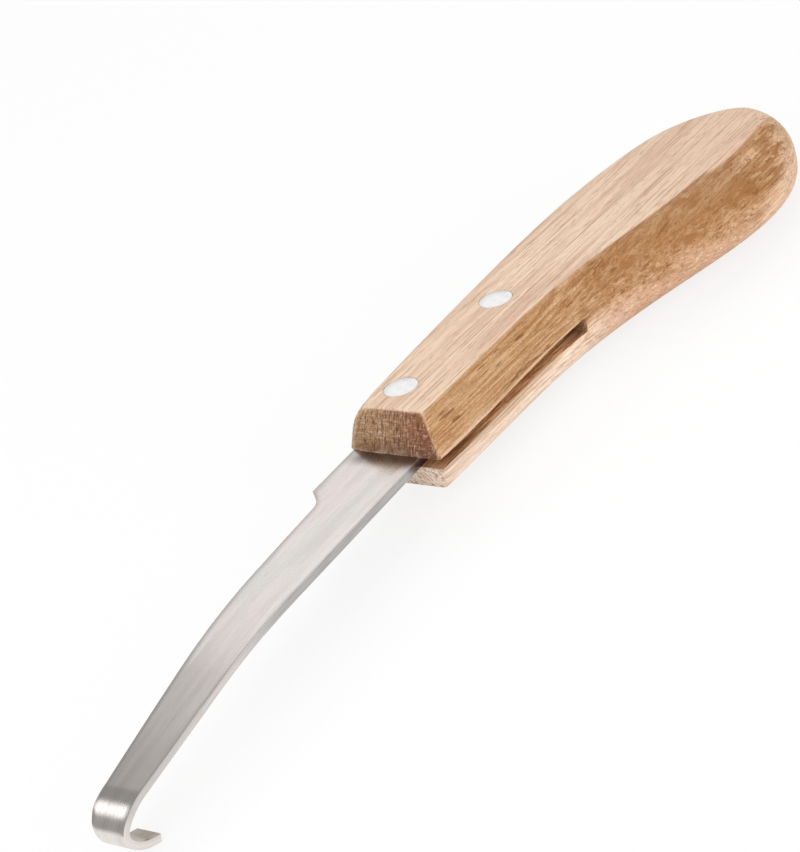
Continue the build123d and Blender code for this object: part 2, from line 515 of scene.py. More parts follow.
def insideFlat(points):
    # How far inside the flat's edges each point lies, seen from above
    edges = flatEdge()
    nearest = np.full(len(points), np.inf)
    crossings = np.zeros(len(points), int)
    x, y, _ = points.T
    for (startX, startY), (endX, endY) in edges:
        run, rise = endX - startX, endY - startY
        share = np.clip(((x - startX) * run + (y - startY) * rise) / (run**2 + rise**2), 0, 1)
        nearest = np.minimum(nearest, np.hypot(x - startX - share * run, y - startY - share * rise))
        passes = (startY > y) != (endY > y)
        if rise:
            crossings += passes & (x < startX + (y - startY) * run / rise)
    return np.where(crossings % 2, nearest, -nearest)


def paleTop(points):
    # The flats' paler colour, partly the wood's own and partly a painted sheen, runs on straight over the
    # butt
    x, y, z = points.T
    start, across, slope, bend = handle["paleEnd"]
    line = across + (start - x) * slope - (start - x) ** 2 * bend
    overButt = smoothShare(line - y, *handle["paleButtEdge"]) * smoothShare(-x, *handle["paleButt"])
    overButt = overButt * smoothShare(np.abs(z), 0, 4)
    return np.maximum(smoothShare(insideFlat(points), *handle["paleEdge"]), overButt)


def markSawn(mesh):
    # Which faces the saw left
    x, _, z = readOff(mesh.polygons, "center").T
    facing = np.abs(readOff(mesh.polygons, "normal"))
    past = np.abs(z) - cutHalf(x, knife["cutCurve"])
    level, upright = facing[:, 2] > 0.6, facing[:, 0] > 0.95
    walls = (past < handle["sawnReach"]) & level & (x > knife["cutEnd"] - 0.1)
    end = (past < 0.05) & upright & (np.abs(x - knife["cutEnd"]) < 0.02)
    keepValue(mesh, "sawn", walls | end, "FACE")


def makeHandle():
    field, low = handleField()
    closeCut(field, low)
    plugHoles(field, low)
    soft = softened(field, low)
    piece = newPiece("handleWood", softSkin(soft, low))
    cutAway(piece, [sawBlade(soft, low)] + drills())
    mesh = piece.data
    points = readOff(mesh.vertices, "co")
    slopes = [sampled(slope, low, points) for slope in np.gradient(soft)]
    steep = np.sqrt(sum(slope**2 for slope in slopes)) + 1e-6
    level = smoothShare(np.abs(slopes[2] / steep), *handle["flatLevel"])
    facing = smoothShare(slopes[0] / steep, *handle["endFacing"])
    keepValue(mesh, "flat", paleTop(points) * level)
    keepValue(mesh, "endGrain", facing * (points[:, 0] > 0))
    keepValue(mesh, "roundedDepth", np.clip(-sampled(field, low, points) / handle["roundingDepth"], 0, 1))
    keepValue(mesh, "depth", np.clip(-sampled(soft, low, points), 0, 1))
    markSawn(mesh)
    mesh.set_sharp_from_angle(angle=math.radians(handle["sharpAngle"]))
    mesh.materials.clear()
    mesh.materials.append(woodMaterial())
    layDown(mesh)
    return piece


# A pattern: how many features to a millimetre along, across and up, detail, roughness, shift, distortion.
# A layer's row: pattern, where it starts and is full, share, colour. A mask is laid by its share alone. In
# a mask, a sum, "rougher" and "height", a third and fourth end give the value at each end.
wood = {
    "cream": rgb(239, 213, 186),
    "beige": rgb(230, 201, 173),
    "rose": rgb(218, 183, 158),
    "line": rgb(178, 134, 102),
    "ochre": rgb(204, 162, 122),
    "ochreDark": rgb(184, 136, 88),
    "light": rgb(222, 186, 147),
    "streak": rgb(157, 105, 56),
    "speck": rgb(122, 72, 36),
    "pale": rgb(254, 233, 213),
    "paleBack": rgb(207, 164, 133),
    "buttEnd": rgb(236, 204, 172),
    "paleLine": rgb(224, 174, 136),
    "end": rgb(182, 143, 108),
    "endDarkAndShade": rgb(96, 62, 42),
    "endRed": rgb(144, 90, 62),
    "scratch": rgb(240, 222, 202),
    # The saw cut's colours are painted far paler than the wood, standing in for light the narrow cut keeps
    # out
    "sawn": rgb(254, 212, 164),
    "sawnDark": rgb(196, 136, 90),
    "broken": rgb(232, 202, 170),
    "roughness": 0.5,
    "specular": 0.4,
    "bump": (0.4, 0.14),
    "patterns": {
        "wander": ((0.012, 0.09, 0.09), 2.0),
        "slow": ((0.02, 0.28, 0.28), 2.0, 0.5, (4, 0, 0)),
        "fine": ((0.03, 1.5, 1.5), 3.0, 0.65, (0, 0, 0), 0.1),
        "lines": ((0.04, 2.5, 2.5), 2.0, 0.6, (0, 6, 2), 0.08),
        "dashes": ((0.22, 3.0, 3.0), 2.0, 0.6, (5, 2, 0)),
        "grain": ((0.09, 1.8, 1.8), 3.0, 0.7, (1, 4, 3), 0.12),
        "tiny": ((1.3, 3.6, 3.6), 3.0, 0.75),
        "patch": ((0.05, 0.3, 0.42), 3.0, 0.55, (0, 9, 0), 0.4),
        "streaks": ((0.03, 1.5, 1.5), 3.0, 0.6, (0, 3, 7), 0.1),
        "gleam": ((0.05, 2.0, 2.0), 2.0, 0.6, (7, 3, 1)),
        "mottle": ((0.16, 0.5, 0.5), 4.0, 0.65, (2, 0, 0), 0.5),
        "specks": ((0.5, 1.3, 1.3), 3.0, 0.65, (0, 0, 0), 0.7),
        "rings": ((0.03, 0.3, 1.0), 3.0, 0.6, (6, 0, 3), 0.25),
        "marks": ((0.11, 1.0, 1.0), 2.0, 0.5, (8, 1, 5), 0.2),
        "ribs": ((0.6, 2.4, 0.7), 3.0, 0.65),
        "weave": ((2.0, 0.5, 3.0), 2.0, 0.6),
        "pits": ((1.0, 3.0, 1.2), 3.0, 0.7, (3, 1, 0)),
        "nicks": ((0.6, 2.6, 0.7), 2.0, 0.6, (0, 8, 4), 0.4),
        "kerf": ((0.12, 1.5, 2.0), 3.0, 0.65),
    },
    # What each sum starts from, and what is added to it
    "sums": {
        "wavy": ("up", ("patch", 0.3, 0.7, -1.5, 1.5), ("along", -74.0, -116.0, 0.0, -6.0)),
        "toRight": ("across", ("ribs", 0.3, 0.7, -3.0, 3.0)),
        "ragged": ("depth", ("grain", 0.35, 0.65, -0.25, 0.25)),
        "pitted": ("ribs", ("pits",)),
    },
    "masks": {
        "behind": [("along", -30.0, -58.0)],
        "forward": [("along", 0.0, -25.0, 0.1, 0.6)],
        "streaked": [("streaks", 0.5, 0.58), ("along", 2.0, -12.0), ("along", -62.0, -40.0)],
        "ringed": [("rings", 0.52, 0.6), ("along", -80.0, -93.0)],
        "spotted": [("mottle", 0.5, 0.66), ("behind",)],
        "cleared": [("mottle", 0.46, 0.36), ("behind",)],
        "dotted": [("specks", 0.58, 0.63), ("behind",)],
        "shaded": [("along", -42.0, -56.0), ("along", -104.0, -84.0), ("up", -1.0, 6.0)],
        "low": [("wavy", 1.8, -3.6)],
        "scratched": [("nicks", 0.62, 0.69), ("toRight", -6.0, 8.0, 0.3, 1.0)],
        "hatched": [("nicks", 0.5, 0.58), ("low",)],
        "chipped": [("ragged", 0.6, 0.2), ("along", 4.0, -2.0), ("along", -32.0, -24.0)],
        "cutEdgeStrip": [("clear", 0.5, 0.2, 0.0, 0.5), ("along", knife["cutEnd"], -37.0)],
        "edgesLighter": [("roundedDepth", 0.3, 1.0), ("fine", 0.35, 0.7, 0.1, 0.5)],
        "endPitted": [("pitted",), ("endGrain",)],
        "cutRibbed": [("kerf",), ("sawn",)],
    },
    # The flats are painted paler than the sides, partly the wood's own tone and partly a painted sheen;
    # growth layers show as lines on them
    "top": [
        ("slow", 0.42, 0.66, 1.0, "rose"),
        ("along", -45.0, -100.0, 0.5, "rose"),
        ("wander", 0.4, 0.62, 0.5, "beige"),
        ("fine", 0.52, 0.74, 0.35, "line"),
        ("lines", 0.56, 0.64, 0.6, "line"),
        ("grain", 0.56, 0.66, 0.35, "line"),
        ("grain", 0.44, 0.32, 0.5, "cream"),
        ("dashes", 0.57, 0.64, 0.55, "line"),
    ],
    # The side is sawn along the layers: broad patches, long streaks, and mottling towards the butt
    "side": [
        ("patch", 0.4, 0.64, 1.0, "ochreDark"),
        ("forward", 1.0, "ochreDark"),
        ("gleam", 0.53, 0.64, 0.5, "light"),
        ("streaks", 0.53, 0.62, 0.5, "streak"),
        ("streaked", 0.6, "streak"),
        ("grain", 0.53, 0.62, 0.6, "streak"),
        ("grain", 0.46, 0.36, 0.42, "light"),
        ("lines", 0.54, 0.62, 0.55, "streak"),
        ("lines", 0.45, 0.36, 0.32, "light"),
        ("tiny", 0.53, 0.63, 0.55, "streak"),
        ("tiny", 0.46, 0.36, 0.35, "light"),
        ("ringed", 0.75, "streak"),
        ("marks", 0.63, 0.69, 0.75, "speck"),
        ("spotted", 0.8, "streak"),
        ("cleared", 0.65, "light"),
        ("dotted", 0.7, "speck"),
        ("shaded", 0.5, "streak"),
    ],
    # The lower half painted paler and pinker, partly the wood's own tone and partly painted light from
    # below, and further up towards the butt
    "lower": [
        ("behind", 1.0, "paleBack"),
        ("along", -78.0, -100.0, 0.8, "buttEnd"),
        ("fine", 0.46, 0.68, 0.6, "paleLine"),
        ("dashes", 0.52, 0.64, 0.7, "paleLine"),
        ("lines", 0.54, 0.64, 0.65, "line"),
        ("grain", 0.54, 0.66, 0.45, "line"),
        ("grain", 0.44, 0.32, 0.5, "pale"),
        ("tiny", 0.54, 0.68, 0.35, "line"),
        ("dotted", 0.45, "streak"),
        ("ringed", 0.35, "ochreDark"),
    ],
    # End grain on the sloping front faces, darker and redder to the right, with painted shade towards the
    # saw cut and the lower half paler, partly painted light from below
    "front": [
        ("toRight", -1.0, 12.0, 1.0, "endRed"),
        ("weave", 0.5, 0.64, 0.35, "endDarkAndShade"),
        ("weave", 0.45, 0.34, 0.3, "scratch"),
        ("ribs", 0.5, 0.62, 0.68, "endDarkAndShade"),
        ("up", 4.4, 1.4, 0.5, "endDarkAndShade"),
        ("pits", 0.44, 0.36, 0.9, "endDarkAndShade"),
        ("scratched", 0.45, "scratch"),
        ("low", 0.92, "pale"),
        ("hatched", 0.75, "endRed"),
    ],
    # Walls of the saw cut, painted far paler than the wood to stand in for the light the narrow cut keeps
    # out, paler where they come out of the wood, and with painted shade at its closed end
    "cut": [
        ("kerf", 0.42, 0.6, 1.0, "sawnDark"),
        ("tiny", 0.52, 0.62, 0.55, "streak"),
        ("grain", 0.53, 0.62, 0.6, "streak"),
        ("along", -8.0, 8.0, 0.6, "endRed"),
        ("chipped", 1.0, "broken"),
        ("along", knife["cutEnd"] + 7, knife["cutEnd"] + 0.5, 0.55, "endDarkAndShade"),
    ],
    "rougher": [("lines", 0.5, 0.8, 0.0, 0.18), ("endGrain", 0.25)],
    "height": [
        ("lines", 0.54, 0.75, 0.0, -0.7),
        ("fine", 0.5),
        ("tiny", 0.5),
        ("grain", 0.8),
        ("endPitted", 2.0),
        ("cutRibbed", 3.0),
    ],
}


def woodMaterial():
    material, tree, shader = newMaterial("oiledWood")
    patterns = patternsOf(tree, knifePlace(tree), wood, ("along", "across", "up"))
    for name in ("flat", "endGrain", "sawn", "depth", "roundedDepth"):
        patterns[name] = attribute(tree, name).outputs["Fac"]
    for name, (start, *rows) in wood["sums"].items():
        patterns[name] = summed(tree, patterns[start], patterns, rows)

    # How far above or below the saw cut's edge, where the side is painted paler along it
    ends = {"Value": patterns["along"], "From Min": knife["lip"], "From Max": knife["cutEnd"]}
    opened = maths(tree, "POWER", addNode(tree, "ShaderNodeMapRange", ends), knife["cutCurve"])
    half = added(tree, times(tree, opened, knife["cutFlare"] / 2), float(cutHalf(knife["lip"])))
    patterns["clear"] = maths(tree, "SUBTRACT", maths(tree, "ABSOLUTE", patterns["up"]), half)

    addMasks(tree, wood, patterns)
    first = {"top": "cream", "side": "ochre", "lower": "pale", "front": "end", "cut": "sawn"}
    top, side, lower, front, cut = (
        layered(tree, wood[colour], wood, patterns, layer) for layer, colour in first.items()
    )
    # The lower half takes the paler colour, partly painted light from below
    side = mixed(tree, patterns["low"], side, lower)
    side = mixed(tree, patterns["cutEdgeStrip"], side, wood["broken"])
    # The flats take the paler colour, partly a painted sheen
    colour = mixed(tree, patterns["flat"], side, top)
    colour = mixed(tree, patterns["endGrain"], colour, front)
    # Lighter on the edges that the sanding rounded
    colour = mixed(tree, patterns["edgesLighter"], colour, wood["broken"])
    colour = mixed(tree, patterns["sawn"], colour, cut)
    surfaced(tree, shader, colour, wood, patterns, {"Specular IOR Level": wood["specular"]})
    return material


blade = {
    "edgeStock": 1.5,  # thickness past the belly bend
    "width": 16.1,
    "right": 9.3,
    "yaw": 3.0,
    "notchStart": 25.3,
    "notchLength": 5.2,
    "workingWidth": 12.4,
    "middleWidth": 10.5,
    "middlePlace": 69.0,
    "hookWidth": 7.95,
    "tipWidth": 5.4,
    "bellyPlace": 64.0,
    "bellyBend": 8.5,
    "bellyRadius": 166.0,
    "hookStart": 101.4,
    "hookBends": ((12.2, 31.0), (3.0, 83.0), (8.3, 38.5)),  # outer radius and degrees of each
    "tipLength": 2.0,
    "thinning": (51.0, 79.0),  # over which the stock gets thinner
    "grindWidth": 3.2,
    "grindEdge": 0.35,
    "grindStart": (-1.5, 2.5),  # over which the bevel comes in, from the notch's end
    "grindFade": 12.0,
    "leastBevel": 0.04,
    "edgeRounding": 0.14,
    "step": 0.5,
    "hookStep": 0.22,
    "sharpAngle": 40,
}


def bladeRuns():
    # Straight runs and bends of the outer face: length, and degrees turned down over it
    slope = math.radians(blade["bellyBend"])
    reach = blade["bellyRadius"] * math.tan(slope / 2)
    runs = [(blade["bellyPlace"] - reach - knife["tangEnd"], 0.0)]
    runs.append((blade["bellyRadius"] * slope, blade["bellyBend"]))
    runs.append(((blade["hookStart"] - blade["bellyPlace"]) / math.cos(slope) - reach, 0.0))
    runs += [(radius * math.radians(turn), turn) for radius, turn in blade["hookBends"]]
    runs.append((blade["tipLength"], 0.0))
    return runs


def bladeStations():
    # Place along the outer face, the point there, and how far it has turned down
    x, z, angle, along = knife["tangEnd"], knife["bladeThickness"] / 2, 0.0, 0.0
    stations = [(along, x, z, angle)]
    for number, (length, turn) in enumerate(bladeRuns()):
        count = math.ceil(length / (blade["step"] if number < 3 else blade["hookStep"]))
        step, bend = length / count, math.radians(turn) / count
        for _ in range(count):
            x += step * math.cos(angle + bend / 2)
            z -= step * math.sin(angle + bend / 2)
            angle += bend
            along += step
            stations.append((along, x, z, angle))
    return stations


def leftSide(x, z, tipZ, rootZ):
    # Shoulder, notch, the slightly full cutting edge, and the hook that narrows to its tip
    full = blade["right"] - blade["width"]
    notchEnd = blade["notchStart"] + blade["notchLength"]
    if x > blade["hookStart"] and z < rootZ:
        aboveTip = (z - tipZ) / (rootZ - tipZ)
        return blade["right"] - between(blade["tipWidth"], blade["hookWidth"], aboveTip**2)
    first, middle, last = notchEnd, blade["middlePlace"], blade["hookStart"]
    x = min(x, last)
    width = (
        blade["workingWidth"] * (x - middle) * (x - last) / (first - middle) / (first - last)
        + blade["middleWidth"] * (x - first) * (x - last) / (middle - first) / (middle - last)
        + blade["hookWidth"] * (x - first) * (x - middle) / (last - first) / (last - middle)
    )
    edge = blade["right"] - width
    cut = min(1, max(0, (x - blade["notchStart"]) / blade["notchLength"]))
    return between(full, edge, 1 - (1 - cut) ** 2)


def bladePath():
    stations = bladeStations()
    hookLength = sum(length for length, _ in bladeRuns()[3:-1])
    root = stations[-1][0] - blade["tipLength"] - hookLength
    tipZ = stations[-1][2]
    rootZ = next(z for along, _, z, _ in stations if along >= root) - blade["edgeStock"]
    bevel = (blade["edgeStock"] - blade["grindEdge"]) / blade["grindWidth"]
    notchEnd = blade["notchStart"] + blade["notchLength"]
    mesh = bpy.data.meshes.new("bladeSteel")
    points = [(x, 0, z) for _, x, z, _ in stations]
    mesh.from_pydata(points, [(i, i + 1) for i in range(len(points) - 1)], [])
    rows = []
    for along, x, z, _ in stations:
        thinned = float(smoothShare(x, *blade["thinning"]))
        stock = between(knife["bladeThickness"], blade["edgeStock"], thinned)
        ground = float(smoothShare(x - notchEnd, *blade["grindStart"])) if along < root else 1.0
        faded = min(1, max(0, along - root) / blade["grindFade"])
        edge = between(stock, between(blade["grindEdge"], stock, faded), ground)
        edge = min(edge, stock - blade["leastBevel"])
        rows.append((along, leftSide(x, z, tipZ, rootZ), stock, edge, 1 / bevel))
    keepRows(mesh, ("along", "left", "stock", "edge", "bevelRun"), rows)
    inwards = [(-math.sin(angle), 0, -math.cos(angle)) for *_, angle in stations]
    inward = mesh.attributes.new("inward", "FLOAT_VECTOR", "POINT")
    inward.data.foreach_set("vector", np.array(inwards, np.float32).ravel())
    return mesh


def bladeSection():
    # Corners of the section, clockwise from the outer face's left: share of the way across from left to
    # right, millimetres aside, share of the stock and of the edge's thickness, millimetres deeper, and
    # share of the bevel's run
    r = blade["edgeRounding"]
    bend = r * (1 - math.sqrt(0.5))
    rows = [(0, r, 0, 0, 0, 0)]
    rows += [(share, 0, 0, 0, 0, 0) for share in (0.12, 0.25, 0.4, 0.55, 0.7, 0.85)]
    rows += [(1, -r, 0, 0, 0, 0), (1, -bend, 0, 0, bend, 0), (1, 0, 0, 0, r, 0)]
    rows += [(1, 0, 0.5, 0, 0, 0)]
    rows += [(1, 0, 1, 0, -r, 0), (1, -bend, 1, 0, -bend, 0), (1, -r, 1, 0, 0, 0)]
    rows += [(0.8, 0, 1, 0, 0, 0), (0.62, 0, 1, 0, 0, 0)]
    rows += [(0, r, 1, 0, 0, 1), (0, r, 0.5, 0.5, 0, 0.5)]
    rows += [(0, r * 0.6, 0, 1, 0, 0), (0, 0, 0, 1, -r * 0.6, 0), (0, 0, 0, 0.5, 0, 0)]
    rows += [(0, 0, 0, 0, r, 0), (0, bend, 0, 0, bend, 0)]
    mesh = bpy.data.meshes.new("bladeSection")
    count = len(rows)
    mesh.from_pydata([(0, 0, 0)] * count, [(i, (i + 1) % count) for i in range(count)], [])
    keepRows(mesh, ("across", "aside", "stockShare", "edgeShare", "deeper", "runShare"), rows)
    # Spread out so that no two corners share a place before the sweep
    for number, vertex in enumerate(mesh.vertices):
        turn = -2 * math.pi * number / count
        vertex.co = (math.cos(turn), math.sin(turn), 0)
    return newPiece("bladeSection", mesh)


def named(tree, name, kind="FLOAT"):
    made = addNode(tree, "GeometryNodeInputNamedAttribute", {"Name": name}, data_type=kind)
    return made.outputs["Attribute"]


def vectorMaths(tree, operation, first, second):
    return addNode(tree, "ShaderNodeVectorMath", {0: first, 1: second}, operation=operation)


def newTree(name, sockets):
    tree = bpy.data.node_groups.new(name, "GeometryNodeTree")
    for socketName, kind in [("Geometry", "Geometry"), *sockets.items()]:
        tree.interface.new_socket(socketName, in_out="INPUT", socket_type="NodeSocket" + kind)
    tree.interface.new_socket("Geometry", in_out="OUTPUT", socket_type="NodeSocketGeometry")
    return tree, tree.nodes.new("NodeGroupInput").outputs


def applyTree(piece, tree, values):
    modifier = piece.modifiers.new(tree.name, "NODES")
    modifier.node_group = tree
    for item in tree.interface.items_tree:
        if item.item_type == "SOCKET" and item.name in values:
            modifier[item.identifier] = values[item.name]
    settled(piece)


def keptPlace(tree, geometry, name, place):
    sockets = {"Geometry": geometry, "Name": name, "Value": place}
    return addNode(tree, "GeometryNodeStoreNamedAttribute", sockets, data_type="FLOAT_VECTOR")


def endTree(tree, geometry, material):
    real = addNode(tree, "GeometryNodeRealizeInstances", {"Geometry": geometry})
    sockets = {"Geometry": real, "Material": material}
    painted = addNode(tree, "GeometryNodeSetMaterial", sockets)
    addNode(tree, "NodeGroupOutput", {0: painted})


def sweepTree():
    tree, given = newTree("sweptBlade", {"Section": "Object", "Right Side": "Float", "Steel": "Material"})
    path = addNode(tree, "GeometryNodeMeshToCurve", {"Mesh": given["Geometry"]})
    onPath = addNode(tree, "GeometryNodeInputPosition")
    kept = keptPlace(tree, path, "pathPoint", onPath)
    shape = addNode(tree, "GeometryNodeObjectInfo", {"Object": given["Section"]})
    ring = addNode(tree, "GeometryNodeMeshToCurve", {"Mesh": shape.outputs["Geometry"]})
    sockets = {"Curve": kept, "Profile Curve": ring, "Fill Caps": True}
    swept = addNode(tree, "GeometryNodeCurveToMesh", sockets)

    left, stock, edge = named(tree, "left"), named(tree, "stock"), named(tree, "edge")
    width = maths(tree, "SUBTRACT", given["Right Side"], left)
    across = times(tree, width, named(tree, "across"))
    taken = maths(tree, "SUBTRACT", stock, edge)
    run = times(tree, times(tree, taken, named(tree, "bevelRun")), named(tree, "runShare"))
    side = added(tree, added(tree, left, across), added(tree, named(tree, "aside"), run))
    deep = times(tree, stock, named(tree, "stockShare"))
    edgeDeep = times(tree, edge, named(tree, "edgeShare"))
    depth = added(tree, added(tree, deep, edgeDeep), named(tree, "deeper"))

    sockets = {0: named(tree, "inward", "FLOAT_VECTOR"), "Scale": depth}
    lowered = addNode(tree, "ShaderNodeVectorMath", sockets, operation="SCALE")
    beside = addNode(tree, "ShaderNodeCombineXYZ", {"Y": side})
    offset = vectorMaths(tree, "ADD", lowered, beside)
    place = vectorMaths(tree, "ADD", named(tree, "pathPoint", "FLOAT_VECTOR"), offset)
    sockets = {"X": named(tree, "along"), "Y": side, "Z": depth}
    brush = addNode(tree, "ShaderNodeCombineXYZ", sockets)
    marked = keptPlace(tree, swept, "brushPlace", brush)
    moved = addNode(tree, "GeometryNodeSetPosition", {"Geometry": marked, "Position": place})
    endTree(tree, moved, given["Steel"])
    return tree


def mapBrushing(mesh):
    # The map's V runs along the brushing and its U round the section
    owners = readOff(mesh.loops, "vertex_index", 1, np.int32).ravel()
    along, across, deep = readOff(mesh.attributes["brushPlace"].data, "vector")[owners].T
    layer = mesh.uv_layers.new(name="brushing")
    layer.data.foreach_set("uv", (np.stack((across + deep, along), axis=1) * mm).ravel())


def makeBlade():
    piece = newPiece("bladeSteel", bladePath())
    section = bladeSection()
    values = {"Section": section, "Right Side": blade["right"], "Steel": steelMaterial()}
    applyTree(piece, sweepTree(), values)
    bpy.data.objects.remove(section)
    piece.data.transform(Matrix.Rotation(math.radians(blade["yaw"]), 4, "Z"))
    shank = rivets["sleeveRadius"] + rivets["shankClearance"]
    cutAway(piece, [cutter("tangHoles", [(shank, -halfThickness, halfThickness)])])
    mesh = piece.data
    mesh.shade_smooth()
    mesh.set_sharp_from_angle(angle=math.radians(blade["sharpAngle"]))
    mapBrushing(mesh)
    layDown(mesh)
    return piece


lipAlong = knife["lip"] - knife["tangEnd"]

# Patterns, masks and layers as the wood's, with the place along the strip, across it and down into it
steel = {
    "face": rgb(238, 231, 226),
    "shade": rgb(216, 208, 203),
    "rose": rgb(238, 224, 222),
    "green": rgb(226, 226, 220),
    "bright": rgb(246, 243, 240),
    # Painted shade on the strip's side face near the handle
    "edge": rgb(150, 153, 154),
    "hookShade": rgb(196, 190, 185),  # painted shade where the strip runs into the hook
    "hookInsideShade": rgb(196, 184, 172),  # painted shade inside the hook, towards its tip
    "lipShade": rgb(88, 74, 64),  # painted shade under the handle's lip
    "roughness": 0.24,
    "anisotropy": 0.85,
    "bump": (0.07, 0.05),
    "patterns": {
        "broad": ((0.03, 0.35, 0.35), 2.0),
        "tint": ((0.04, 0.12, 0.1), 1.0, 0.5, (2, 5, 0)),
        "brushed": ((0.05, 5.0, 5.0), 3.0, 0.65),
        "hair": ((0.1, 9.0, 9.0), 2.0, 0.6),
        "smear": ((0.3, 0.9, 0.9), 3.0, 0.6),
        "scores": ((0.07, 6.5, 6.5), 2.0, 0.6, (1, 2, 3)),
        "shear": ((0.06, 0.0, 5.0), 2.0, 0.6),
    },
    "masks": {
        "rosy": [("tint", 0.52, 0.4), ("along", 120.0, 90.0)],
        "scored": [("along", 90.0, 104.0), ("along", 138.0, 116.0, 0.3, 1.0), ("across", 6.5, 7.7)],
        "scoredDark": [("scored",), ("scores", 0.51, 0.58)],
        "scoredLight": [("scored",), ("scores", 0.49, 0.42)],
        "onEdge": [("deep", 0.14, 0.3)],
        # Painted shade on the strip's side face, full near the handle, fading out along the blade and
        # broken into streaks along its length
        "edgeShadeBand": [("onEdge",), ("along", 118.0, 92.0), ("shear", 0.35, 0.6, 0.45, 1.0)],
        "edgeLines": [("onEdge",), ("shear", 0.5, 0.58)],
        # Painted shade on the hook's inner face, towards its tip
        "inHook": [("deep", 1.3, 1.46), ("along", 147.0, 150.0)],
        # Painted shade where the strip runs into the hook, ending in its first bend
        "hookShaded": [("along", 112.0, 134.0), ("along", 147.0, 144.0)],
        # Painted shade under the handle's lip, fading out a few millimetres from it and weaker towards the
        # left
        "lipShaded": [("along", lipAlong + 5.2, lipAlong + 1.6), ("across", -6.8, -3.0, 0.15, 1.0)],
    },
    "surface": [
        ("broad", 0.38, 0.64, 0.7, "shade"),
        ("rosy", 0.7, "rose"),
        ("tint", 0.54, 0.64, 0.4, "green"),
        ("brushed", 0.5, 0.75, 0.5, "bright"),
        ("hair", 0.54, 0.7, 0.4, "shade"),
        ("smear", 0.5, 0.7, 0.3, "shade"),
        ("scoredDark", 0.4, "shade"),
        ("scoredLight", 0.75, "bright"),
        ("edgeShadeBand", 1.0, "edge"),
        ("edgeLines", 0.6, "shade"),
        ("inHook", 1.0, "hookInsideShade"),
        ("hookShaded", 0.45, "hookShade"),
        ("lipShaded", 0.72, "lipShade"),
    ],
    "rougher": [("brushed", 0.3, 0.7, 0.0, 0.07)],
    "height": [("brushed",)],
}


def steelMaterial():
    material, tree, shader = newMaterial("brushedSteel")
    place = attribute(tree, "brushPlace").outputs["Vector"]
    patterns = patternsOf(tree, place, steel, ("along", "across", "deep"))
    addMasks(tree, steel, patterns)
    colour = layered(tree, steel["face"], steel, patterns, "surface")
    tangent = addNode(tree, "ShaderNodeTangent", direction_type="UV_MAP", uv_map="brushing")
    own = {"Metallic": 1.0, "Anisotropic": steel["anisotropy"], "Tangent": tangent}
    surfaced(tree, shader, colour, steel, patterns, own)
    return material


rivets = {
    "headRadius": 3.5,
    "headThickness": 1.0,
    "headClearance": 0.06,
    "sleeveRadius": 2.5,
    "shankClearance": 0.05,
    "postRadius": 1.5,
    "postClearance": 0.02,
    "sleeveGap": 0.3,
    "postGap": 2.0,
    "brokenEdge": 0.1,
    "turnSteps": 72,
    "drillSides": 96,
    "sharpAngle": 40,
}


def turned(name, outline):
    # A turned part: radius and height of each corner of half its section
    mesh = bmesh.new()
    corners = [mesh.verts.new((radius, 0, height)) for radius, height in outline]
    edges = [mesh.edges.new(pair) for pair in zip(corners, corners[1:])]
    bmesh.ops.spin(
        mesh,
        geom=corners + edges,
        cent=(0, 0, 0),
        axis=(0, 0, 1),
        angle=2 * math.pi,
        steps=rivets["turnSteps"],
        use_duplicate=False,
    )
    bmesh.ops.remove_doubles(mesh, verts=mesh.verts, dist=0.0005)
    bmesh.ops.recalc_face_normals(mesh, faces=mesh.faces)
    data = plainMesh(name, mesh)
    data.shade_smooth()
    data.set_sharp_from_angle(angle=math.radians(rivets["sharpAngle"]))
    return data


def headOutline(face, seat, shank):
    # From the middle of a head's face, over its broken edge, to the shank
    edge, head = rivets["brokenEdge"], rivets["headRadius"]
    inwards = math.copysign(edge, seat - face)
    return [
        (0, face),
        (head * 0.5, face),
        (head - edge, face),
        (head - edge * 0.3, face + inwards * 0.3),
        (head, face + inwards),
        (head, seat),
        (shank, seat),
    ]


def postOutline():
    pin, seat = rivets["postRadius"], halfThickness - rivets["headThickness"]
    end = rivets["postGap"] - seat
    return headOutline(halfThickness, seat, pin) + [(pin, end), (0, end)]


def sleeveOutline():
    tube, seat = rivets["sleeveRadius"], rivets["headThickness"] - halfThickness
    mouth = -seat - rivets["sleeveGap"]
    bore = rivets["postRadius"] + rivets["postClearance"]
    inside = [(tube, mouth), (bore, mouth), (bore, seat), (0, seat)]
    return headOutline(-halfThickness, seat, tube) + inside


def rivetTree():
    tree, given = newTree("rivetPair", {"Spacing": "Float", "Metal": "Material"})
    back = times(tree, given["Spacing"], -1.0)
    step = addNode(tree, "ShaderNodeCombineXYZ", {"X": back})
    line = addNode(tree, "GeometryNodeMeshLine", {"Count": 2, "Offset": step}, mode="OFFSET")
    own = addNode(tree, "GeometryNodeInputPosition")
    marked = keptPlace(tree, given["Geometry"], "facePlace", own)
    sockets = {"Points": line, "Instance": marked}
    pair = addNode(tree, "GeometryNodeInstanceOnPoints", sockets)
    endTree(tree, pair, given["Metal"])
    return tree


def makeRivets():
    metal = rivetMaterial()
    tree = rivetTree()
    made = []
    for name, outline in (("rivetPosts", postOutline()), ("rivetSleeves", sleeveOutline())):
        piece = newPiece(name, turned(name, outline))
        applyTree(piece, tree, {"Spacing": rivetSpacing, "Metal": metal})
        layDown(piece.data)
        made.append(piece)
    return made


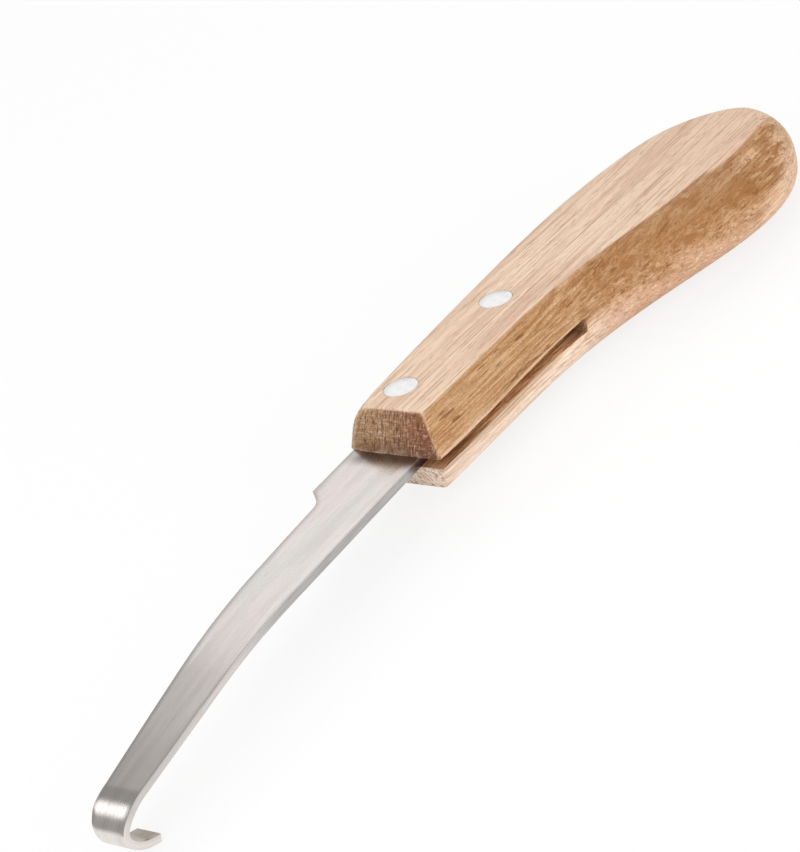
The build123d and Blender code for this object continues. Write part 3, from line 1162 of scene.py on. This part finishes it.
rivetMetal = {
    "face": rgb(246, 245, 243),
    "mark": rgb(218, 218, 220),
    "roughness": 0.3,
    "metallic": 0.5,
    "bump": (0.2, 0.04),
    "patterns": {
        "strokes": ((0.6, 5.0, 1.0), 3.0, 0.6, (0, 0, 0), 0.6),
        "cloud": ((0.5, 0.5, 0.5), 2.0),
    },
    "surface": [
        ("strokes", 0.45, 0.75, 0.6, "mark"),
        ("cloud", 0.4, 0.7, 0.35, "mark"),
        ("out", 3.2, 3.45, 0.5, "mark"),
    ],
    "rougher": [("strokes", 0.3, 0.7, 0.0, 0.15)],
    "height": [("strokes",)],
}


def rivetMaterial():
    material, tree, shader = newMaterial("facedAluminium")
    place = attribute(tree, "facePlace").outputs["Vector"]
    patterns = patternsOf(tree, place, rivetMetal, ("x", "y", "z"))
    squares = [maths(tree, "POWER", patterns[axis], 2.0) for axis in "xy"]
    patterns["out"] = maths(tree, "SQRT", added(tree, *squares))
    colour = layered(tree, rivetMetal["face"], rivetMetal, patterns, "surface")
    surfaced(tree, shader, colour, rivetMetal, patterns, {"Metallic": rivetMetal["metallic"]})
    return material


studio = {
    "floor": (0.93, 0.93, 0.93, 1),
    "floorSize": 4.0,
    "floorWhite": 0.82,  # how much of the floor is plain white, where it is seen, and takes no shadow
    "cameraPlace": (0.281986, 0.237187, 0.219518),
    "cameraAim": (0.013407, -0.008372, 0.010),
    "cameraRoll": -19.19,
    "lens": 99.0,
    "shift": (-0.025, 0.03),
}

# What the steel mirrors: where it stands, its reach and soft edge in degrees, and how much light it adds
panels = [
    {"name": "back softbox", "azimuth": 214, "height": 36, "reach": 18, "soft": 9, "light": 0.68},
    {"name": "side softbox", "azimuth": 285, "height": 45, "reach": 4, "soft": 7, "light": 3.3},
    {"name": "low wall", "azimuth": 322, "height": -5, "reach": 8, "soft": 14, "light": 0.35},
]
dimLight = 0.38  # from everywhere else

lamps = [
    {"name": "topLamp", "azimuth": 215, "height": 62, "distance": 1.5, "size": 1.4, "power": 7.5},
    {"name": "sideLamp", "azimuth": 88, "height": 18, "distance": 1.4, "size": 1.0, "power": 8.0},
    {"name": "frontLamp", "azimuth": 15, "height": 35, "distance": 1.4, "size": 0.9, "power": 8.0},
]


def towards(azimuth, height):
    turn, rise = math.radians(azimuth), math.radians(height)
    return Vector((math.cos(rise) * math.cos(turn), math.cos(rise) * math.sin(turn), math.sin(rise)))


def makeWorld():
    world = bpy.data.worlds.new("studio")
    bpy.context.scene.world = world
    world.use_nodes = True
    tree = world.node_tree
    direction = addNode(tree, "ShaderNodeTexCoord").outputs["Generated"]
    light = dimLight
    for panel in panels:
        sockets = {0: direction, 1: towards(panel["azimuth"], panel["height"])}
        facing = addNode(tree, "ShaderNodeVectorMath", sockets, operation="DOT_PRODUCT").outputs["Value"]
        outside = math.cos(math.radians(panel["reach"] + panel["soft"]))
        inside = math.cos(math.radians(panel["reach"]))
        glow = spread(tree, facing, outside, inside, 0.0, panel["light"])
        light = added(tree, light, glow)
    seen = addNode(tree, "ShaderNodeLightPath").outputs["Is Camera Ray"]
    strength = addNode(tree, "ShaderNodeMix", {0: seen, 2: light, 3: 1.0})
    setSockets(tree, tree.nodes["Background"], {"Color": (1, 1, 1, 1), "Strength": strength})


def makeLamps():
    aim = Vector((0, 0, 0.01))
    for values in lamps:
        light = bpy.data.lights.new(values["name"], "AREA")
        light.shape = "DISK"
        light.size = values["size"]
        light.energy = values["power"]
        lamp = newPiece(values["name"], light)
        lamp.location = aim + towards(values["azimuth"], values["height"]) * values["distance"]
        lamp.rotation_euler = (aim - lamp.location).to_track_quat("-Z", "Y").to_euler()
        lamp.visible_glossy = False


def makeFloor():
    half = studio["floorSize"] / 2
    mesh = bpy.data.meshes.new("floor")
    corners = [(-half, -half, 0), (half, -half, 0), (half, half, 0), (-half, half, 0)]
    mesh.from_pydata(corners, [], [(0, 1, 2, 3)])
    material, tree, shader = newMaterial("paleFloor")
    sockets = {"Base Color": studio["floor"], "Roughness": 0.9, "Specular IOR Level": 0.0}
    setSockets(tree, shader, sockets)
    path = addNode(tree, "ShaderNodeLightPath")
    seen = maths(tree, "ADD", path.outputs["Is Camera Ray"], path.outputs["Is Glossy Ray"], clamp=True)
    white = addNode(tree, "ShaderNodeEmission", {"Color": (1, 1, 1, 1), "Strength": 1.0})
    share = times(tree, seen, studio["floorWhite"])
    blend = addNode(tree, "ShaderNodeMixShader", {0: share, 1: shader, 2: white})
    output = next(node for node in tree.nodes if node.type == "OUTPUT_MATERIAL")
    setSockets(tree, output, {"Surface": blend})
    mesh.materials.append(material)
    newPiece("floor", mesh)


def makeCamera():
    camera = bpy.data.cameras.new("camera")
    camera.sensor_fit = "HORIZONTAL"
    camera.sensor_width = 36.0
    camera.lens = studio["lens"]
    camera.shift_x, camera.shift_y = studio["shift"]
    camera.clip_start = 0.01
    camera.clip_end = 20.0
    stand = newPiece("camera", camera)
    place = Vector(studio["cameraPlace"])
    look = (Vector(studio["cameraAim"]) - place).to_track_quat("-Z", "Y")
    roll = Matrix.Rotation(math.radians(studio["cameraRoll"]), 4, "Z")
    stand.matrix_world = Matrix.Translation(place) @ look.to_matrix().to_4x4() @ roll
    bpy.context.scene.camera = stand


makeCamera()
makeWorld()
makeLamps()
makeFloor()
bpy.context.scene.view_settings.view_transform = "Standard"
print("studio ready")

handlePiece = makeHandle()
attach(handlePiece, "root")
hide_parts("handle")
print("handle", len(handlePiece.data.polygons))

bladePiece = makeBlade()
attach(bladePiece, "root")
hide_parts("blade")
print("blade", len(bladePiece.data.polygons))

postPiece, sleevePiece = makeRivets()
for piece, part in ((postPiece, "post"), (sleevePiece, "sleeve")):
    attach(piece, "root")
    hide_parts("front_rivet_" + part, "rear_rivet_" + part)
print("rivets ready")
